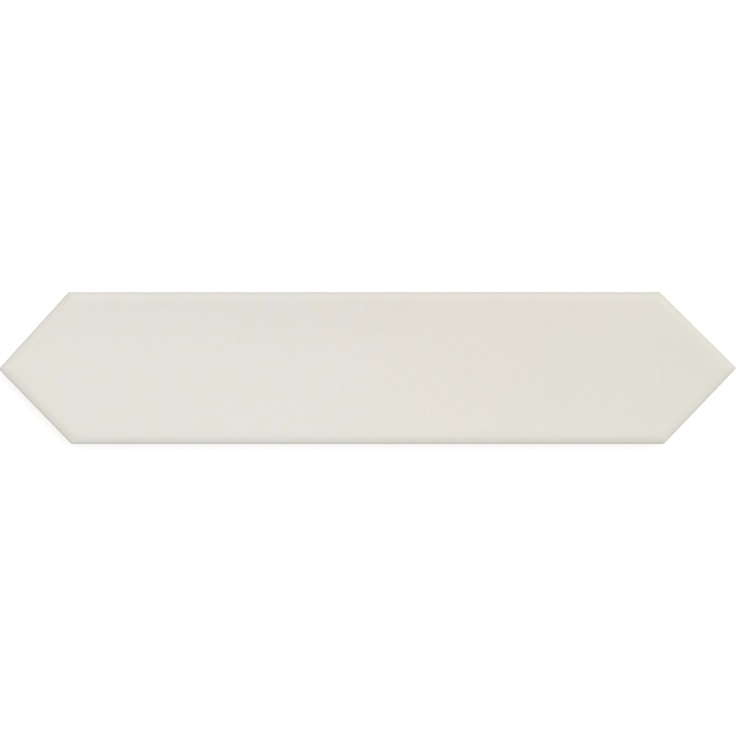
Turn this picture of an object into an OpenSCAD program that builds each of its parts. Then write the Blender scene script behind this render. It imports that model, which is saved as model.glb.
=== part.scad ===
// Pointed wall tile: a dry-pressed, glazed "picket" tile, an elongated hexagon.
// It lies on its back with the glazed face up. X runs from tip to tip, Y across
// the long sides, and Z = 0 is the plane that the back is bedded on.
//
// The outline is an upright prism. One edge section then runs along all six of
// its sides, so that it meets itself in a mitre at every corner.

/* [Outline] */
// Length from tip to tip
tile_length = 250; // [200:1:400]
// Width across the two long sides
tile_width = 51.5; // [45:0.5:80]
// Depth of each point, from its tip back to its shoulders
point_depth = 24.7; // [20:0.1:40]
// Thickness from the back to the glazed face
tile_thickness = 9; // [7:0.5:14]

/* [Glazed edge] */
// Distance in from a side at which the face starts to fall
cushion_width = 2.7; // [2.5:0.1:8]
// Slope of that soft fall where it meets the arris, in degrees
cushion_slope = 23; // [10:1:30]
// Radius of the arris between the soft fall and the upright side
arris_radius = 1.1; // [0.5:0.05:2]

/* [Sides] */
// Height above the back at which the sides start to taper in
taper_height = 2.6; // [1:0.1:3]
// How far the taper sets the back in from the sides
taper_inset = 0.6; // [0.2:0.1:1]

/* [Keyed back] */
// Width of the flat rim between the tapered sides and the grooves
rim_width = 4; // [3:0.5:7]
// Depth of the grooves that the adhesive keys into
key_depth = 0.8; // [0.4:0.1:1.5]
// Number of raised ribs between the grooves, which run from point to point
rib_count = 7; // [3:2:9]
// Width of a rib's flat crest
rib_width = 2; // [1:0.1:2.5]
// Draft of the rib and groove walls, in degrees from upright
key_draft = 30; // [10:1:40]

/* [Hidden] */
$fn = 96;

glaze_colour = [0.89, 0.88, 0.845];

// How far the cutting shapes run past the surfaces that they cut
overshoot = 0.25;

// Outline: the corners, and where the sides of a point stand
half_length = tile_length / 2;
half_width = tile_width / 2;
shoulder = half_length - point_depth;
point_side_angle = atan2(point_depth, half_width);
point_side_distance = half_length * cos(point_side_angle);

// Each side: the way it faces, and its distance from the centre
SIDES = [
    [90, half_width],
    [270, half_width],
    [point_side_angle, point_side_distance],
    [-point_side_angle, point_side_distance],
    [180 - point_side_angle, point_side_distance],
    [180 + point_side_angle, point_side_distance],
];

// Edge section, with the side at 0: the fall is one arc and the arris another.
// Each breaks from the surface before it by a crease too slight to be felt.
crease = 2;
fall_radius = (cushion_width - arris_radius * (cos(crease) - sin(cushion_slope + crease)))
    / (sin(cushion_slope) - sin(crease));
fall_centre = [
    -cushion_width - fall_radius * sin(crease),
    tile_thickness - fall_radius * cos(crease),
];
arris_centre = [
    -arris_radius * cos(crease),
    fall_centre[1] + fall_radius * cos(cushion_slope)
        - arris_radius * cos(cushion_slope + crease),
];

// Keyed back: the grooves between the rim and the ribs are all equally wide
key_inset = taper_inset + rim_width;
rib_pitch = (2 * (half_width - key_inset) + rib_width) / (rib_count + 1);

// Runs a section, drawn with Z up the page, across the tile's whole length
module run_along(facing, distance = 0) {
    rotate([0, 0, facing])
        translate([distance, 0, 0])
            rotate([90, 0, 0])
                linear_extrude(height = 2 * tile_length, center = true)
                    children();
}

// What the soft fall leaves off the face
module fall_waste() {
    difference() {
        translate([fall_centre[0], arris_centre[1]])
            square([overshoot - fall_centre[0], tile_thickness + overshoot - arris_centre[1]]);
        translate(fall_centre)
            circle(r = fall_radius);
    }
}

// What the arris leaves off the corner between the soft fall and the side
module arris_waste() {
    translate(arris_centre)
        difference() {
            polygon(2 * arris_radius * [
                [0, 0],
                [1, 0],
                [1, 1],
                [tan(cushion_slope), 1],
            ]);
            circle(r = arris_radius);
        }
}

// What the taper leaves off the lower part of the side
module taper_waste() {
    polygon([
        [taper_inset, 2 * taper_height],
        [-2 * taper_inset, -taper_height],
        [taper_inset, -taper_height],
    ]);
}

// A strip of the back. Its walls lean by the draft: towards each other on the
// way up in a sunk strip (lean 1), and apart in a raised one (lean -1).
module drafted_strip(half_at_back, lean) {
    run = tan(key_draft);
    polygon([
        [-half_at_back - lean * overshoot * run, -overshoot],
        [half_at_back + lean * overshoot * run, -overshoot],
        [half_at_back - lean * key_depth * run, key_depth],
        [-half_at_back + lean * key_depth * run, key_depth],
    ]);
}

// The field that is sunk inside the rim, before the ribs are put back
module sunk_field() {
    intersection() {
        run_along(90)
            drafted_strip(half_width - key_inset, 1);
        run_along(point_side_angle)
            drafted_strip(point_side_distance - key_inset, 1);
        run_along(-point_side_angle)
            drafted_strip(point_side_distance - key_inset, 1);
    }
}

module ribs() {
    for (i = [0 : rib_count - 1])
        run_along(90, (i - (rib_count - 1) / 2) * rib_pitch)
            drafted_strip(rib_width / 2, -1);
}

module tile() {
    color(glaze_colour)
        difference() {
            linear_extrude(height = tile_thickness)
                polygon([
                    [half_length, 0],
                    [shoulder, half_width],
                    [-shoulder, half_width],
                    [-half_length, 0],
                    [-shoulder, -half_width],
                    [shoulder, -half_width],
                ]);
            for (side = SIDES) {
                run_along(side[0], side[1]) fall_waste();
                run_along(side[0], side[1]) arris_waste();
                run_along(side[0], side[1]) taper_waste();
            }
            difference() {
                sunk_field();
                ribs();
            }
        }
}

tile();
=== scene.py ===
"""A pointed, glazed wall tile on a white floor, seen from straight above.

X runs from tip to tip, Y across the long sides and Z out of the glazed face. Lengths are in metres.
The tile is made as it leaves the press, cut up finely, and then glazed and bent as the kiln leaves it.
"""
import math

import bmesh
import bpy
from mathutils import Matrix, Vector, noise


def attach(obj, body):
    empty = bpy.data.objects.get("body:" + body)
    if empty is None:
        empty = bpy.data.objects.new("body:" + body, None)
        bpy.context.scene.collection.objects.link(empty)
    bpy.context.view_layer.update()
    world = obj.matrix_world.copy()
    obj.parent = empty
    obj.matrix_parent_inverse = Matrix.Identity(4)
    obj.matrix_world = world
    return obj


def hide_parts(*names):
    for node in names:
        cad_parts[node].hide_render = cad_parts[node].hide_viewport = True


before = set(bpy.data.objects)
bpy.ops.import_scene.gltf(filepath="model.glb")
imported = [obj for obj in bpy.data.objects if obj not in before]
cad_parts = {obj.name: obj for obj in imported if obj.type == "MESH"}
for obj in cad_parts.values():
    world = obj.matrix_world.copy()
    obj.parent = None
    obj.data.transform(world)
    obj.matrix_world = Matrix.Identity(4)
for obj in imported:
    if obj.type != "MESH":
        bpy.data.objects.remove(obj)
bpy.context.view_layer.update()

MM = 0.001

# Outline. Real tiles leave the press and the kiln a little out of true: the two upper shoulders sit
# further left than the lower two, and the left tip is a hair low.
HALF_LENGTH = 125.0 * MM
HALF_WIDTH = 25.75 * MM
UPPER_LEFT_SHOULDER = -101.35 * MM
UPPER_RIGHT_SHOULDER = 99.1 * MM
LOWER_LEFT_SHOULDER = -100.4 * MM
LOWER_RIGHT_SHOULDER = 100.4 * MM
LEFT_TIP_DROP = 0.35 * MM
CORNER_EASE = 0.3 * MM
CORNER_STEPS = 3

# Section through a side, from the back to the glazed face
THICKNESS = 9.0 * MM
TAPER_HEIGHT = 2.6 * MM
TAPER_INSET = 0.6 * MM
ARRIS_RADIUS = 1.1 * MM
CUSHION_WIDTH = 2.7 * MM
CUSHION_SLOPE = math.radians(23)
CREASE = math.radians(2)
ARRIS_STEPS = 7
FALL_STEPS = 8

# Keyed back
RIM_WIDTH = 4.0 * MM
KEY_DEPTH = 0.8 * MM
RIB_COUNT = 7
RIB_WIDTH = 2.0 * MM
KEY_SLOPE = math.radians(60)
KEY_RUN = KEY_DEPTH / math.tan(KEY_SLOPE)
KEY_EDGE = TAPER_INSET + RIM_WIDTH
KEY_ROUND = 0.2 * MM
KEY_ROUND_STEPS = 2
FOOT_EASE = 0.15 * MM
FOOT_STEPS = 2
RIB_PITCH = (2 * (HALF_WIDTH - KEY_EDGE) + RIB_WIDTH) / (RIB_COUNT + 1)

# How finely the pressed form is cut up, how close two points may be, and what counts as a sharp edge
FACE_CELL = 1.5 * MM
SIDE_ROW = 0.4 * MM
WELD = 0.02 * MM
NEARLY = 0.01 * MM
SHARP_EDGE = math.radians(40)

# What the kiln does. Nothing moves past the pressed size: the sides draw in by a share of their distance
# from the middle, the face dips, and the fall of the face sags by a share of its depth, but is slacker
# by such a share at the two points.
SIDE_WANDER = 0.0018
TIP_WANDER = 0.0004
SIDE_WAVE = 34 * MM
FACE_DIP = 0.05 * MM
FACE_WAVE = 26 * MM
CUSHION_SAG = 0.15
CUSHION_WAVE = 40 * MM
SAG_FROM = 6.0 * MM
POINT_SLACK = 0.3
POINT_FROM = 92 * MM
POINT_FULL = 108 * MM

# What the glaze does: it draws thin towards the sides, and ends in a lip at an uneven line on them
GLAZE_THICKNESS = 0.14 * MM
GLAZE_DRAW = 0.08 * MM
GLAZE_DRAW_FROM = 4.4 * MM
GLAZE_DRAW_TO = 1.2 * MM
GLAZE_DRAW_STEPS = 3
GLAZE_LINE = 3.7 * MM
GLAZE_LINE_SWING = 0.5 * MM
GLAZE_LINE_WAVE = 11 * MM
RIPPLE_FINENESS = 3.1
RIPPLE_SHARE = 0.4
GLAZE_LINE_SOFTNESS = 0.25 * MM
COVER_LAYER = "above_glaze_line_mm"

# Soft dots: how far the full core and the rim reach, in radii, and how softly a cell's lot is drawn
DOT_CORE = 0.4
DOT_RIM = 1.5
LOT_BLUR = 0.01

# The camera looks straight down. The picture shows a little less than the whole length.
PICTURE_WIDTH = 249.46 * MM
PICTURE_CENTRE_X = 0.11 * MM
LENS = 150.0
SENSOR = 36.0


def srgb(red, green, blue):
    """An 8-bit screen colour as the linear colour that a shader takes."""
    def linear(level):
        level /= 255
        return level / 12.92 if level <= 0.04045 else ((level + 0.055) / 1.055) ** 2.4
    return (linear(red), linear(green), linear(blue), 1)


def smoothstep(low, high, value):
    """0 below low and 1 above high, with a soft turn between them."""
    t = min(max((value - low) / (high - low), 0), 1)
    return t * t * (3 - 2 * t)


class Number:
    """A socket whose value varies over a surface. Arithmetic on it adds Math nodes."""

    def __init__(self, recipe, socket):
        self.recipe = recipe
        self.socket = socket

    def math(self, operation, first, second):
        return self.recipe.add("ShaderNodeMath", {"operation": operation}, {0: first, 1: second})

    def __add__(self, other):
        return self.math("ADD", self, other)

    def __sub__(self, other):
        return self.math("SUBTRACT", self, other)

    def __rsub__(self, other):
        return self.math("SUBTRACT", other, self)

    def __mul__(self, other):
        return self.math("MULTIPLY", self, other)

    __radd__ = __add__
    __rmul__ = __mul__


class Recipe:
    """The nodes of one material or of the world."""

    def __init__(self, owner):
        owner.use_nodes = True
        self.tree = owner.node_tree
        self.tree.nodes.clear()

    def add(self, kind, settings=None, sockets=None, output=0):
        """A node with its settings and with values or other nodes' outputs in its sockets."""
        node = self.tree.nodes.new(kind)
        for name, value in (settings or {}).items():
            setattr(node, name, value)
        for key, value in (sockets or {}).items():
            if isinstance(value, Number):
                self.tree.links.new(value.socket, node.inputs[key])
            else:
                node.inputs[key].default_value = value
        return Number(self, node.outputs[output]) if node.outputs else node

    def place(self):
        """Where a point is on the piece, in metres."""
        return self.add("ShaderNodeTexCoord", output="Object")

    def leaning(self, place, lean, stretch):
        """The place, turned so that patterns on it lean from the Y axis, and are stretched that way."""
        return self.add("ShaderNodeMapping", {"vector_type": "TEXTURE"}, {
            "Vector": place, "Rotation": (0, 0, lean), "Scale": (1, stretch, 1)})

    def cloud(self, place, size, detail=2.0, roughness=0.5, curl=0.0):
        """Soft noise about 0, with patches of about the given size, which the curl twists."""
        grey = self.add("ShaderNodeTexNoise", {}, {"Vector": place, "Scale": 1 / size, "Detail": detail,
                                                   "Roughness": roughness, "Distortion": curl})
        return grey - 0.5

    def dot(self, reach, radius):
        """1 in the middle of a soft-rimmed dot and 0 outside it, by the reach from its middle."""
        return 1 - self.rise(reach, DOT_CORE * radius, DOT_RIM * radius)

    def specks(self, place, spacing, radius, share):
        """Small dots that lie at random, one in each of a share of the cells of the given spacing."""
        cells = {"voronoi_dimensions": "2D", "feature": "F1"}
        layout = {"Vector": place, "Scale": 1 / spacing}
        reach = self.add("ShaderNodeTexVoronoi", cells, layout, output="Distance")
        lot = self.add("ShaderNodeSeparateXYZ", sockets={
            0: self.add("ShaderNodeTexVoronoi", cells, layout, output="Color")})
        return self.dot(reach, radius / spacing) * (1 - self.rise(lot, share, share + LOT_BLUR))

    def rise(self, value, low, high):
        """0 up to low, 1 from high on, with a soft turn between them."""
        return self.add("ShaderNodeMapRange", {"interpolation_type": "SMOOTHSTEP"}, {
            "Value": value, "From Min": low, "From Max": high, "To Min": 0, "To Max": 1})

    def blend(self, share, first, second):
        """The first colour, giving way to the second by the share."""
        return self.add("ShaderNodeMix", {"data_type": "RGBA", "clamp_factor": True},
                        {0: share, 6: first, 7: second}, output=2)

    def seen(self):
        """1 for what the camera sees, straight or in a gloss, and 0 for what only lights the tile."""
        rays = [self.add("ShaderNodeLightPath", output=f"Is {kind} Ray")
                for kind in ("Camera", "Glossy", "Transmission")]
        return sum(rays)

    def finish(self, kind, surface):
        """The output node, of a material or of the world."""
        self.add(kind, sockets={"Surface": surface})


# Tile: the pressed form

def outline():
    """The six corners, anticlockwise from the right tip."""
    return [
        (HALF_LENGTH, 0),
        (UPPER_RIGHT_SHOULDER, HALF_WIDTH),
        (UPPER_LEFT_SHOULDER, HALF_WIDTH),
        (-HALF_LENGTH, -LEFT_TIP_DROP),
        (LOWER_LEFT_SHOULDER, -HALF_WIDTH),
        (LOWER_RIGHT_SHOULDER, -HALF_WIDTH),
    ]


def edge_section():
    """(distance in from the side, height) up the arris and the soft fall of the face."""
    fall_radius = (CUSHION_WIDTH - ARRIS_RADIUS * (math.cos(CREASE) - math.sin(CUSHION_SLOPE + CREASE))) / (
        math.sin(CUSHION_SLOPE) - math.sin(CREASE))
    fall_height = THICKNESS - fall_radius * math.cos(CREASE)
    fall_inset = CUSHION_WIDTH + fall_radius * math.sin(CREASE)
    arris_height = (fall_height + fall_radius * math.cos(CUSHION_SLOPE)
                    - ARRIS_RADIUS * math.cos(CUSHION_SLOPE + CREASE))
    points = []
    for step in range(ARRIS_STEPS):
        slope = math.pi / 2 - CREASE - (math.pi / 2 - CUSHION_SLOPE - 2 * CREASE) * step / ARRIS_STEPS
        points.append((ARRIS_RADIUS * (math.cos(CREASE) - math.sin(slope)),
                       arris_height + ARRIS_RADIUS * math.cos(slope)))
    for step in range(FALL_STEPS + 1):
        slope = CUSHION_SLOPE - (CUSHION_SLOPE - CREASE) * step / FALL_STEPS
        points.append((fall_inset - fall_radius * math.sin(slope),
                       fall_height + fall_radius * math.cos(slope)))
    return points


def key_wall():
    """(distance in, depth) down a wall of the key: a rounded brow, the drafted wall and a rounded foot."""
    tangent = KEY_ROUND * math.tan(KEY_SLOPE / 2)
    brow = []
    for step in range(KEY_ROUND_STEPS + 1):
        turn = KEY_SLOPE * step / KEY_ROUND_STEPS
        brow.append((KEY_ROUND * math.sin(turn) - tangent, KEY_ROUND * (1 - math.cos(turn))))
    return brow + [(KEY_RUN - run, KEY_DEPTH - depth) for run, depth in reversed(brow)]


def key_depth(wall, reach):
    """Depth of the key at a distance out from the brow of its wall."""
    for (near, shallow), (far, deep) in zip(wall, wall[1:]):
        if reach <= far:
            return shallow + (deep - shallow) * max(reach - near, 0) / (far - near)
    return KEY_DEPTH


def in_key(vert):
    """Whether a point is in the sunk field of the back, with the brow of its rim."""
    return vert.co.z < KEY_DEPTH + NEARLY and inset_distance(vert.co) > KEY_EDGE - KEY_ROUND


def inset(bm, face, width, rise):
    """Draws a face in by a width, moving it outwards by a rise, with a mitre at each corner."""
    bmesh.ops.inset_region(bm, faces=[face], thickness=width, depth=rise, use_even_offset=True,
                           use_boundary=True)


def pressed_form():
    """The tile as the die leaves it, but for its eased edges and the ribs of its back."""
    bm = bmesh.new()
    back = bm.faces.new([bm.verts.new((x, y, TAPER_HEIGHT)) for x, y in outline()])
    section = edge_section()
    wall = key_wall()
    raised = bmesh.ops.extrude_face_region(bm, geom=[back], use_keep_orig=True)["geom"]
    face = next(item for item in raised if isinstance(item, bmesh.types.BMFace))
    bmesh.ops.translate(bm, verts=face.verts, vec=(0, 0, section[0][1] - TAPER_HEIGHT))
    bmesh.ops.recalc_face_normals(bm, faces=bm.faces)
    for (inner, low), (outer, high) in zip(section, section[1:]):
        inset(bm, face, outer - inner, high - low)
    for _ in range(GLAZE_DRAW_STEPS):
        inset(bm, face, (GLAZE_DRAW_FROM - CUSHION_WIDTH) / GLAZE_DRAW_STEPS, 0)
    inset(bm, back, TAPER_INSET, TAPER_HEIGHT)
    inset(bm, back, RIM_WIDTH + wall[0][0], 0)
    for (near, shallow), (far, deep) in zip(wall, wall[1:]):
        inset(bm, back, far - near, shallow - deep)
    return bm


def ease_foot(bm):
    """Rounds the edge between the sides and the back."""
    def at_foot(vert):
        return abs(vert.co.z) < NEARLY and abs(inset_distance(vert.co) - TAPER_INSET) < NEARLY
    foot = [edge for edge in bm.edges if all(at_foot(vert) for vert in edge.verts)]
    bmesh.ops.bevel(bm, geom=foot, offset=FOOT_EASE, offset_type="OFFSET", segments=FOOT_STEPS,
                    profile=0.5, affect="EDGES", material=-1)


def ease_corners(bm):
    """Rounds the six upright corners, and the mitres that run on from them over the face and back."""
    def corner(vert):
        return min(outline(), key=lambda spot: (Vector(spot) - vert.co.xy).length)
    mitres = [edge for edge in bm.edges if corner(edge.verts[0]) == corner(edge.verts[1])]
    bmesh.ops.bevel(bm, geom=mitres, offset=CORNER_EASE, offset_type="OFFSET", segments=CORNER_STEPS,
                    profile=0.5, affect="EDGES", material=-1)


def settle(bm):
    """Puts points, edges and faces in order of place. Bevels and cuts leave them in no fixed order, and
    which points the weld joins depends on it."""
    def place(vert):
        return tuple(vert.co)
    def places(part):
        return sorted(place(vert) for vert in part.verts)
    for parts, key in ((bm.verts, place), (bm.edges, places), (bm.faces, places)):
        for rank, part in enumerate(sorted(parts, key=key)):
            part.index = rank
        parts.sort()


def cut(bm, place, normal, faces=None):
    """Cuts the whole form along a plane, or only the given faces of it."""
    if faces is None:
        geom = bm.verts[:] + bm.edges[:] + bm.faces[:]
    else:
        edges = {edge for face in faces for edge in face.edges}
        verts = {vert for face in faces for vert in face.verts}
        geom = [*verts, *edges, *faces]
    bmesh.ops.bisect_plane(bm, geom=geom, plane_co=place, plane_no=normal)


def steps(low, high, size):
    """Evenly spaced places strictly between low and high, about size apart."""
    count = round((high - low) / size)
    return [low + (high - low) * i / count for i in range(1, count)]


def rib_centres():
    """Where the middle line of each rib lies across the tile."""
    return [(i - (RIB_COUNT - 1) / 2) * RIB_PITCH for i in range(RIB_COUNT)]


def cut_up(bm):
    """Cuts the key along the edges of the ribs, and all of the form finely enough to be bent."""
    for centre in rib_centres():
        for side in (-1, 1):
            for reach, _ in key_wall():
                key = [face for face in bm.faces if all(in_key(vert) for vert in face.verts)]
                cut(bm, (0, centre + side * (RIB_WIDTH / 2 + reach), 0), (0, 1, 0), key)
    for x in steps(-HALF_LENGTH, HALF_LENGTH, FACE_CELL):
        cut(bm, (x, 0, 0), (1, 0, 0))
    for y in steps(-HALF_WIDTH, HALF_WIDTH, FACE_CELL):
        cut(bm, (0, y, 0), (0, 1, 0))
    for z in steps(TAPER_HEIGHT, edge_section()[0][1], SIDE_ROW):
        cut(bm, (0, 0, z), (0, 0, 1))


def raise_ribs(bm):
    """Brings the ribs of the sunk field back down to the plane of the rim."""
    wall = key_wall()
    for vert in filter(in_key, bm.verts):
        reach = min(abs(vert.co.y - centre) for centre in rib_centres()) - RIB_WIDTH / 2
        vert.co.z = min(vert.co.z, key_depth(wall, reach))


def side_lines():
    """Each side as a point on it and the way it faces."""
    corners = [Vector(corner) for corner in outline()]
    return [(a, Vector((b.y - a.y, a.x - b.x)).normalized())
            for a, b in zip(corners, corners[1:] + corners[:1])]


SIDES = side_lines()


def inset_distance(spot):
    """How far a point is in from the nearest side."""
    return min(facing.dot(start - spot.xy) for start, facing in SIDES)


def outward(spot):
    """The step that moves a point out by 1 from each side that it is close to."""
    near = [facing for start, facing in SIDES if facing.dot(start - spot.xy) < 2 * TAPER_INSET]
    if len(near) == 2:
        return (near[0] + near[1]) / (1 + near[0].dot(near[1]))
    return near[0] if near else Vector((0, 0))


# Tile: what the glaze and the kiln do to it

def wander(spot, size):
    """Soft noise from 0 to 1 with waves of about the given length."""
    return min(max(0.5 + 0.5 * noise.noise(spot / size), 0), 1)


def glaze_line(spot):
    """Height on a side at which the glaze ends, above the bare body."""
    level = Vector((spot.x, spot.y, 0))
    wave = noise.noise(level / GLAZE_LINE_WAVE)
    ripple = noise.noise(level * RIPPLE_FINENESS / GLAZE_LINE_WAVE)
    return GLAZE_LINE + GLAZE_LINE_SWING * (wave + RIPPLE_SHARE * ripple)


def fire(bm):
    """Glazes and fires the pressed form. The bare clay stands back from the lip of the glaze, the whole
    tile bends, and the glaze draws thin towards the sides."""
    cover = bm.verts.layers.float.new(COVER_LAYER)
    for vert in bm.verts:
        above = vert.co.z - glaze_line(vert.co)
        vert[cover] = above / MM
        bare = 1 - smoothstep(-GLAZE_LINE_SOFTNESS, GLAZE_LINE_SOFTNESS, above)
        vert.co.xy -= outward(vert.co) * GLAZE_THICKNESS * bare
    for vert in bm.verts:
        spot = vert.co.copy()
        level = Vector((spot.x, spot.y, 0))
        vert.co.x -= spot.x * TIP_WANDER * wander(level, SIDE_WAVE)
        vert.co.y -= spot.y * SIDE_WANDER * wander(level, SIDE_WAVE)
        vert.co.z -= spot.z / THICKNESS * FACE_DIP * wander(level, FACE_WAVE)
        upper = smoothstep(TAPER_HEIGHT, SAG_FROM, spot.z)
        sag = CUSHION_SAG * wander(level, CUSHION_WAVE)
        slack = POINT_SLACK * smoothstep(POINT_FROM, POINT_FULL, abs(spot.x))
        vert.co.z -= (THICKNESS - spot.z) * upper * (sag - slack)
        thinned = 1 - smoothstep(GLAZE_DRAW_TO, GLAZE_DRAW_FROM, inset_distance(spot))
        vert.co.z -= GLAZE_DRAW * upper * thinned


def shade(bm):
    """Smooth all over, but for the pressed edges of the sides and back."""
    for face in bm.faces:
        face.smooth = True
    for edge in bm.edges:
        edge.smooth = edge.calc_face_angle(0) < SHARP_EDGE


def fired_tile(material):
    """The tile, as one closed mesh that stands in for the CAD's solid."""
    bm = pressed_form()
    ease_foot(bm)
    ease_corners(bm)
    cut_up(bm)
    raise_ribs(bm)
    settle(bm)
    bmesh.ops.remove_doubles(bm, verts=bm.verts, dist=WELD)
    bmesh.ops.dissolve_degenerate(bm, dist=NEARLY, edges=bm.edges)
    bmesh.ops.recalc_face_normals(bm, faces=bm.faces)
    fire(bm)
    shade(bm)
    mesh = bpy.data.meshes.new("fired_tile")
    bm.to_mesh(mesh)
    bm.free()
    mesh.materials.append(material)
    tile = bpy.data.objects.new("fired_tile", mesh)
    bpy.context.collection.objects.link(tile)
    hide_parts("tile")
    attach(tile, "root")
    return tile


# Materials

# (x, y) in millimetres of the pits where a bubble broke, and of the pale flecks of unmelted glaze
PITS = [(19.2, -14.1), (65.9, -11.7), (49.0, -1.5), (89.4, -10.3), (91.4, -17.1), (-76.0, 6.9)]
FLECKS = [(57.8, 14.4), (10.4, 1.2), (-17.1, 10.7), (75.8, 16.1), (80.2, 15.1)]
PIT_RADIUS = 0.3 * MM
FLECK_RADIUS = 0.35 * MM
SPECK_SPACING = 9 * MM
SPECK_RADIUS = 0.28 * MM
SPECK_SHARE = 0.25

GLAZE_PALE = srgb(231, 227.4, 218)
# This deeper tone, and the cool glaze's deeper tone below, are partly the glaze's own and partly painted
# shade towards the upper right.
GLAZE_DEEPER_AND_SHADED = srgb(223.5, 219, 208.5)
GLAZE_GREEN = srgb(221, 219, 206)
GLAZE_COOL = srgb(231, 228.1, 223.2)
GLAZE_COOL_DEEPER_AND_SHADED = srgb(223, 220, 215.5)
# The darker, warmer tone from the arris down is partly thin glaze and partly painted shade along the tile's
# edge.
GLAZE_THIN_AND_SHADED_EDGE = srgb(224, 219, 209)
PIT_BROWN = srgb(196, 188, 172)
FLECK_PALE = srgb(240, 238, 233)
BARE_CLAY = srgb(232, 224, 208)
BARE_CLAY_DARK = srgb(221, 211, 193)

# The glaze's mottling, and its darkening towards the upper right, which is partly the glaze's own tone and
# partly painted shade. A pair of places is where a change begins along the tile and where it is complete.
# Clouds push those places to and fro, by up to half of the lengths given for drift, streaks and fine.
STREAK_LEAN = math.radians(-32)
STREAK_STRETCH = 1.5
STREAK_SIZE = 4.5 * MM
STREAK_CURL = 0.4
STREAK_EDGE = (0.2, 0.42)
FINE_SIZE = 3 * MM
DRIFT_SIZE = 40 * MM
RAGGED_BY_DRIFT = 50 * MM
RAGGED_BY_STREAKS = 30 * MM
LEFT_SETS_IN = (-118 * MM, -90 * MM)
LEFT_RUNS_OUT = (-14 * MM, 44 * MM)
RIGHT_SETS_IN = (60 * MM, 80 * MM)
MORE_STREAKS_LEFT = 0.3
MORE_STREAKS_RIGHT = 0.15
# Where the glaze deepens towards the upper right, partly in its own tone and partly as painted shade.
DEEPENS = (-120 * MM, 165 * MM)
DEEPENS_UPWARDS = 2.6
DEEP_BY_DRIFT = 70 * MM
DEEP_BY_FINE = 120 * MM
UPPER_SETS_IN = (0, 22 * MM)
UPPER_LEFT_DEEPER = 0.2
GREENS = (52 * MM, 108 * MM)
# The height band over which the arris takes that tone of thin glaze and painted edge shade.
THIN_AND_SHADED_EDGE_FROM = THICKNESS - 1.6 * MM
THIN_AND_SHADED_EDGE_TO = THICKNESS - 0.5 * MM
COVER_EDGE = 0.12

# How strongly each of them tints the glaze, from 0 to 1. The thin glaze's tint is partly painted shade
# along the tile's edge.
THIN_AND_SHADED_EDGE_TINT = 0.15
PIT_TINT = 0.3
SPECK_TINT = 0.15
FLECK_TINT = 0.4

# The bare clay's mottling
GRAIN_SIZE = 0.5 * MM
GRAIN_TINT = 0.9
PATCH_SIZE = 14 * MM
PATCH_TINT = 1.2

# Relief, with its depths in millimetres, and gloss
PEEL_SIZE = 1.6 * MM
SWELL_SIZE = 5 * MM
SWELL_SHARE = 2
PEEL_DEPTH = 0.006
PIT_DEPTH = 0.02
GRAIN_DEPTH = 0.06
GLAZE_ROUGHNESS = 0.42
STREAK_ROUGHNESS = 0.06
CLAY_ROUGHNESS = 0.85
GLAZE_IOR = 1.5


def spots(recipe, place, middles, radius):
    """A soft dot on the face at each of the middles."""
    reaches = [recipe.add("ShaderNodeVectorMath", {"operation": "DISTANCE"},
                          {0: place, 1: (x * MM, y * MM, THICKNESS)}, output="Value") for x, y in middles]
    return sum(recipe.dot(reach, radius) for reach in reaches)


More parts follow.
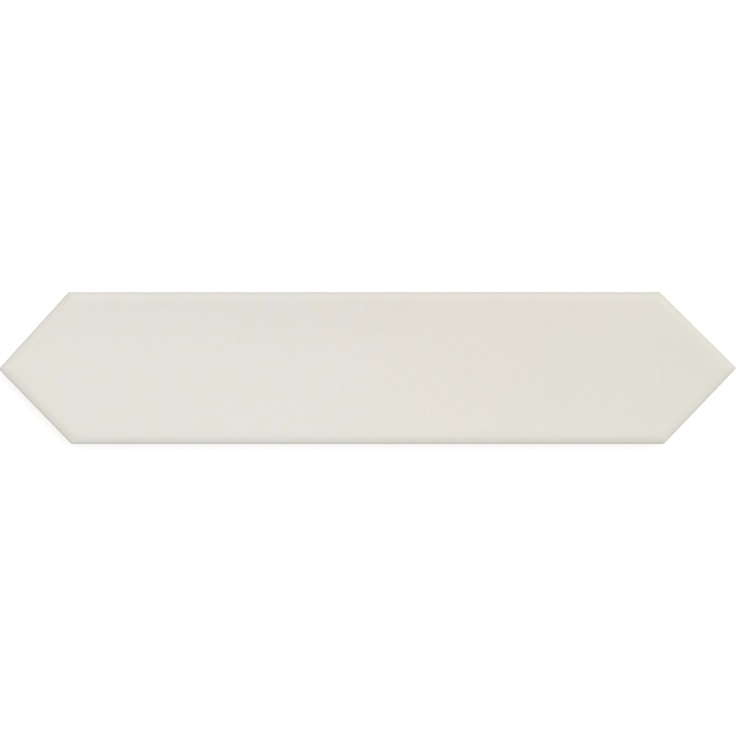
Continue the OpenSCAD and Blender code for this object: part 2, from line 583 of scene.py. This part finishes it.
def tile_material():
    """Satin glaze over a pale body, which is bare below the glaze line and on the back."""
    material = bpy.data.materials.new("satin_glaze_on_pale_body")
    recipe = Recipe(material)
    place = recipe.place()
    along, across, height = (
        recipe.add("ShaderNodeSeparateXYZ", sockets={0: place}, output=axis) for axis in "XYZ")

    # Bare or glazed
    line = recipe.add("ShaderNodeAttribute", {"attribute_name": COVER_LAYER}, output="Fac")
    glazed = recipe.rise(line, -COVER_EDGE, COVER_EDGE)

    # Glaze: paler at the lower left and darker towards the upper right, partly its own tone and partly
    # painted shade; cool leaning streaks over the left half, greener at the right end.
    # The ragged place along the tile gives those regions their torn edges.
    streaks = recipe.cloud(recipe.leaning(place, STREAK_LEAN, STREAK_STRETCH), STREAK_SIZE, detail=3,
                           curl=STREAK_CURL)
    fine = recipe.cloud(place, FINE_SIZE, detail=3)
    drift = recipe.cloud(place, DRIFT_SIZE, detail=2)
    ragged = along + drift * RAGGED_BY_DRIFT + streaks * RAGGED_BY_STREAKS
    left = recipe.rise(ragged, *LEFT_SETS_IN) * (1 - recipe.rise(ragged, *LEFT_RUNS_OUT))
    right = recipe.rise(ragged, *RIGHT_SETS_IN)
    cool = recipe.rise(streaks + MORE_STREAKS_LEFT * left + MORE_STREAKS_RIGHT * right, *STREAK_EDGE)
    aslant = along + across * DEEPENS_UPWARDS
    # Painted shade in part: the glaze deepens towards the upper right, partly in its own tone and partly as
    # painted shade.
    deep = recipe.rise(aslant + drift * DEEP_BY_DRIFT + fine * DEEP_BY_FINE, *DEEPENS)
    deep = deep + UPPER_LEFT_DEEPER * recipe.rise(across, *UPPER_SETS_IN) * left
    green = recipe.rise(ragged - across, *GREENS)
    # Painted shade in part: the glaze darkens from the arris down, for thin glaze there and for shade along
    # the edge.
    thin = 1 - recipe.rise(height, THIN_AND_SHADED_EDGE_FROM, THIN_AND_SHADED_EDGE_TO)
    pits = spots(recipe, place, PITS, PIT_RADIUS)
    flecks = spots(recipe, place, FLECKS, FLECK_RADIUS)
    specks = recipe.specks(place, SPECK_SPACING, SPECK_RADIUS, SPECK_SHARE)
    # The deeper tones mixed in here are partly the glaze's own and partly painted shade towards the upper
    # right.
    glaze = recipe.blend(deep, GLAZE_PALE, GLAZE_DEEPER_AND_SHADED)
    glaze = recipe.blend(green, glaze, recipe.blend(deep, GLAZE_PALE, GLAZE_GREEN))
    glaze = recipe.blend(cool, glaze, recipe.blend(deep, GLAZE_COOL, GLAZE_COOL_DEEPER_AND_SHADED))
    # Mixes in the darker edge tone, partly thin glaze and partly painted edge shade.
    glaze = recipe.blend(thin * THIN_AND_SHADED_EDGE_TINT, glaze, GLAZE_THIN_AND_SHADED_EDGE)
    glaze = recipe.blend(pits * PIT_TINT + specks * SPECK_TINT, glaze, PIT_BROWN)
    glaze = recipe.blend(flecks * FLECK_TINT, glaze, FLECK_PALE)

    # Bare body: pressed clay with a fine grain
    grain = recipe.cloud(place, GRAIN_SIZE, detail=4, roughness=0.7)
    patches = recipe.cloud(place, PATCH_SIZE, detail=3)
    clay = recipe.blend(0.5 + grain * GRAIN_TINT + patches * PATCH_TINT, BARE_CLAY, BARE_CLAY_DARK)

    # Relief and gloss: the glaze's peel and pits, and the clay's grain
    peel = recipe.cloud(place, PEEL_SIZE, detail=2)
    peel = peel + recipe.cloud(place, SWELL_SIZE, detail=1) * SWELL_SHARE
    relief = (peel * PEEL_DEPTH - pits * PIT_DEPTH) * glazed + grain * (1 - glazed) * GRAIN_DEPTH
    bump = recipe.add("ShaderNodeBump", {}, {"Strength": 1.0, "Distance": 1 * MM, "Height": relief})
    roughness = (GLAZE_ROUGHNESS + streaks * STREAK_ROUGHNESS) * glazed + CLAY_ROUGHNESS * (1 - glazed)
    surface = recipe.add("ShaderNodeBsdfPrincipled", {}, {
        "Base Color": recipe.blend(glazed, clay, glaze), "Roughness": roughness, "Normal": bump,
        "IOR": GLAZE_IOR})
    recipe.finish("ShaderNodeOutputMaterial", surface)
    return material


# Studio

# The floor is pale grey paper, which throws less light back at the tile's sides than white would. What the
# camera sees of it is lifted to white, and so is what it sees of the room.
FLOOR_REACH = 1.2
FLOOR_GAP = 0.05 * MM
FLOOR_PAPER = srgb(190, 190, 190)
FLOOR_LIFT = 0.66
WHITE = (1, 1, 1, 1)
ROOM_LEVEL = 0.465

# The one lamp. It is turned from the X axis, and raised from the floor.
LAMP_POWER = 68.5
LAMP_DISTANCE = 3.0
LAMP_SIZE = 3.6
LAMP_TURN = math.radians(47)
LAMP_ELEVATION = math.radians(64.5)


def white_floor():
    """The floor, white to the camera but for the tile's shadow."""
    material = bpy.data.materials.new("white_floor")
    recipe = Recipe(material)
    paper = recipe.add("ShaderNodeBsdfDiffuse", {}, {"Color": FLOOR_PAPER})
    lift = recipe.add("ShaderNodeEmission", {}, {"Color": WHITE, "Strength": recipe.seen() * FLOOR_LIFT})
    recipe.finish("ShaderNodeOutputMaterial", recipe.add("ShaderNodeAddShader", {}, {0: paper, 1: lift}))
    bm = bmesh.new()
    bmesh.ops.create_grid(bm, x_segments=1, y_segments=1, size=FLOOR_REACH)
    bmesh.ops.translate(bm, verts=bm.verts, vec=(0, 0, -FLOOR_GAP))
    mesh = bpy.data.meshes.new("floor")
    bm.to_mesh(mesh)
    bm.free()
    mesh.materials.append(material)
    floor = bpy.data.objects.new("floor", mesh)
    bpy.context.collection.objects.link(floor)


def sky():
    """An even room that lights the tile from all round, and is plain white to the camera."""
    world = bpy.data.worlds.new("white_room")
    bpy.context.scene.world = world
    recipe = Recipe(world)
    room = recipe.add("ShaderNodeBackground", {}, {
        "Color": WHITE, "Strength": ROOM_LEVEL + recipe.seen() * (1 - ROOM_LEVEL)})
    recipe.finish("ShaderNodeOutputWorld", room)


def softbox():
    """One large soft light, high over the upper right of the picture."""
    light = bpy.data.lights.new("softbox", "AREA")
    light.shape = "SQUARE"
    light.size = LAMP_SIZE
    light.energy = LAMP_POWER
    lamp = bpy.data.objects.new("softbox", light)
    towards = Vector((math.cos(LAMP_ELEVATION) * math.cos(LAMP_TURN),
                      math.cos(LAMP_ELEVATION) * math.sin(LAMP_TURN),
                      math.sin(LAMP_ELEVATION)))
    lamp.location = towards * LAMP_DISTANCE
    lamp.rotation_euler = towards.to_track_quat("Z", "Y").to_euler()
    bpy.context.collection.objects.link(lamp)


def overhead_camera():
    """Straight down, with the upper long side at the top of the picture."""
    data = bpy.data.cameras.new("overhead")
    data.lens = LENS
    data.sensor_width = SENSOR
    camera = bpy.data.objects.new("overhead", data)
    outline_height = edge_section()[0][1]
    camera.location = (PICTURE_CENTRE_X, 0, outline_height + PICTURE_WIDTH * LENS / SENSOR)
    bpy.context.collection.objects.link(camera)
    bpy.context.scene.camera = camera


fired_tile(tile_material())
white_floor()
sky()
softbox()
overhead_camera()
bpy.context.scene.view_settings.view_transform = "Standard"
